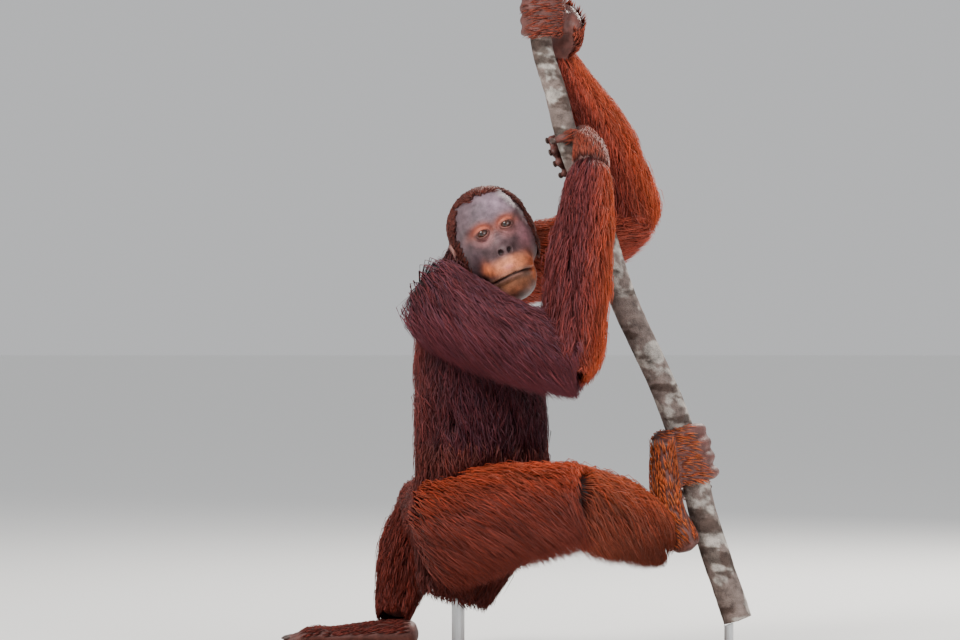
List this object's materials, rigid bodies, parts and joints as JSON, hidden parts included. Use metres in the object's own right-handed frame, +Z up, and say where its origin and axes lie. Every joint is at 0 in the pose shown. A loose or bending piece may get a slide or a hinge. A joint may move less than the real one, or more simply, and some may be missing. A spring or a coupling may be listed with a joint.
{
  "type": "orangutan figure",
  "caption": "Life-size still model of a young orangutan that squats and climbs on a leaning pole, held by a plain stand with a flat board.",
  "frame": {"origin": "middle of the stand board's underside", "axes": "+Z up, +X to the side the right foot grips the pole on, -Y towards the side the face looks to"},
  "size_m": [0.9, 0.5965, 1.2069],
  "materials": {
    "coat": "long, dark red-brown hair in overlapping locks",
    "skin": "bare, finely creased grey-brown skin",
    "eye": "wet, dark brown eye",
    "bark": "rough grey-brown bark with pale patches",
    "board": "satin brown wood",
    "steel": "brushed steel"
  },
  "bodies": {
    "root": {"perch_pole": "bark", "stand_base": "board", "eye_left": "eye", "eye_right": "eye", "head": "skin", "torso": "coat", "pelvis": "coat", "neck": "coat", "ear_left": "skin", "ear_right": "skin", "hand_left": "skin", "hand_right": "skin", "foot_left": "skin", "foot_right": "skin", "thigh_left": "coat", "thigh_right": "coat", "upper_arm_left": "coat", "upper_arm_right": "coat", "forearm_left": "coat", "forearm_right": "coat", "shin_left": "coat", "shin_right": "coat", "stand_rod_body": "steel", "stand_rod_perch": "steel"}
  },
  "joints": []
}
